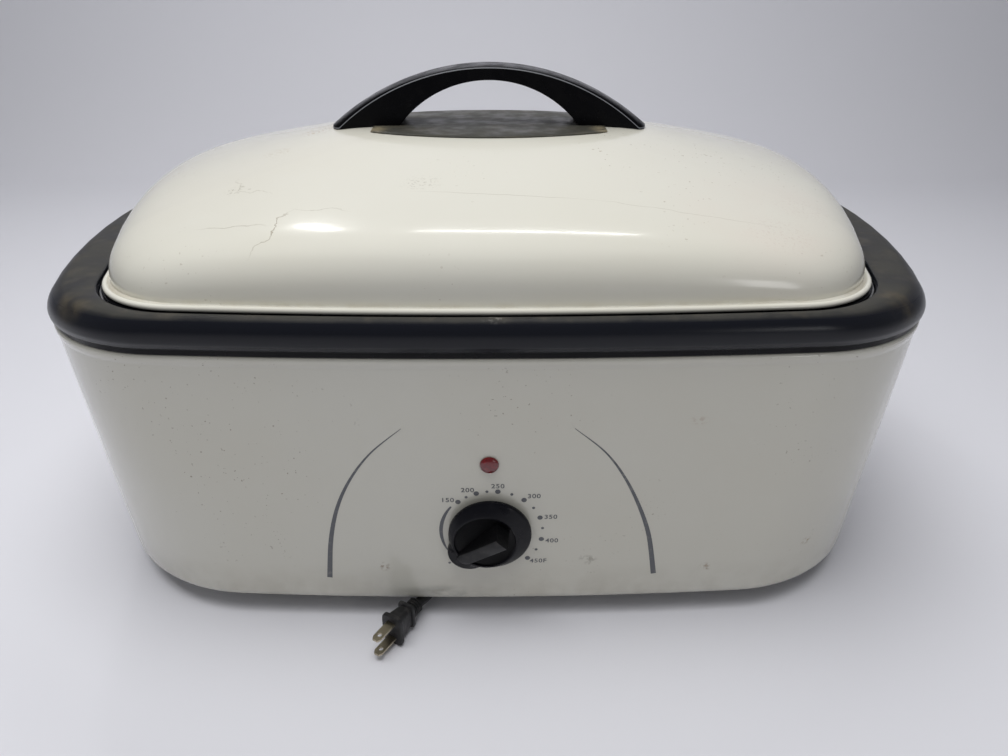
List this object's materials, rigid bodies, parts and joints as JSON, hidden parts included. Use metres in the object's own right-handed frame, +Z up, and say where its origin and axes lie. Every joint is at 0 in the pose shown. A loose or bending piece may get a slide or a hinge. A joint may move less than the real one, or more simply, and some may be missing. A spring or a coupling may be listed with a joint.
{
  "type": "electric roaster oven",
  "caption": "Countertop electric roaster oven: an oval-cornered heated body with a black rim, a lift-out cookwell with a rack, a domed lift-off lid with an arched handle, and a front dial.",
  "frame": {"origin": "on the table, under the middle of the whole object's footprint", "axes": "+Z up, +X to the right seen from the front, +Y to the back; the knob is on the -Y side"},
  "size_m": [0.61, 0.4627, 0.3398],
  "materials": {
    "enamel": "off-white baked enamel on steel sheet, glossy",
    "rim_plastic": "black moulded heat-proof plastic, semi-gloss",
    "knob_plastic": "black moulded plastic, semi-gloss",
    "handle_plastic": "black moulded phenolic plastic, semi-gloss",
    "plate_metal": "dark grey satin coated sheet",
    "zinc_steel": "zinc-plated steel",
    "foot_rubber": "black rubber",
    "liner_steel": "aluminised steel sheet",
    "heater": "heating band in a steel sheath",
    "wool": "mineral wool blanket",
    "ceramic_body": "unglazed ceramic",
    "red_lens": "translucent red lens",
    "lamp_glass": "clear glass neon lamp",
    "cord_pvc": "black cord jacket, matte",
    "blade_brass": "nickel-plated brass, dull",
    "dark_enamel": "dark porcelain enamel, glossy",
    "chrome_wire": "bright chromed wire"
  },
  "bodies": {
    "housing": {"outer_body": "enamel", "rim": "rim_plastic", "base_plate": "zinc_steel", "foot_front_left": "foot_rubber", "foot_front_right": "foot_rubber", "foot_back_left": "foot_rubber", "foot_back_right": "foot_rubber", "foot_screws": "zinc_steel", "inner_liner": "liner_steel", "heater_band": "heater", "heater_clamp": "zinc_steel", "insulation": "wool", "heat_shield": "zinc_steel", "tie_bolt": "zinc_steel", "tie_nut": "zinc_steel", "thermostat": "ceramic_body", "thermostat_bracket": "zinc_steel", "bracket_screws": "zinc_steel", "indicator_lens": "red_lens", "lens_clip": "zinc_steel", "indicator_lamp": "lamp_glass", "terminal_block": "ceramic_body", "lead_wires": "cord_pvc", "cord_relief": "cord_pvc", "cord": "cord_pvc", "plug_body": "cord_pvc", "plug_blades": "blade_brass"},
    "knob": {"knob": "knob_plastic", "knob_stem": "zinc_steel", "knob_clip": "zinc_steel"},
    "cookwell": {"cookwell": "dark_enamel"},
    "rack": {"rack": "chrome_wire", "rack_handles": "chrome_wire"},
    "lid": {"lid": "enamel", "handle_plate": "plate_metal", "lid_handle": "handle_plastic", "handle_screws": "zinc_steel", "handle_washers": "zinc_steel"}
  },
  "joints": [
    {"name": "cookwell_lift", "type": "slide", "parent": "housing", "child": "cookwell", "axis": [0, 0, 1], "range_m": [0, 0.17]},
    {"name": "rack_lift", "type": "slide", "parent": "cookwell", "child": "rack", "axis": [0, 0, 1], "range_m": [0, 0.09]},
    {"name": "lid_lift", "type": "slide", "parent": "cookwell", "child": "lid", "axis": [0, 0, 1], "range_m": [0, 0.16]},
    {"name": "knob_turn", "type": "hinge", "parent": "housing", "child": "knob", "pos_m": [0, -0.19888, 0.0785], "axis": [0, 0.9999, 0.0172], "range_deg": [0, 270]}
  ]
}
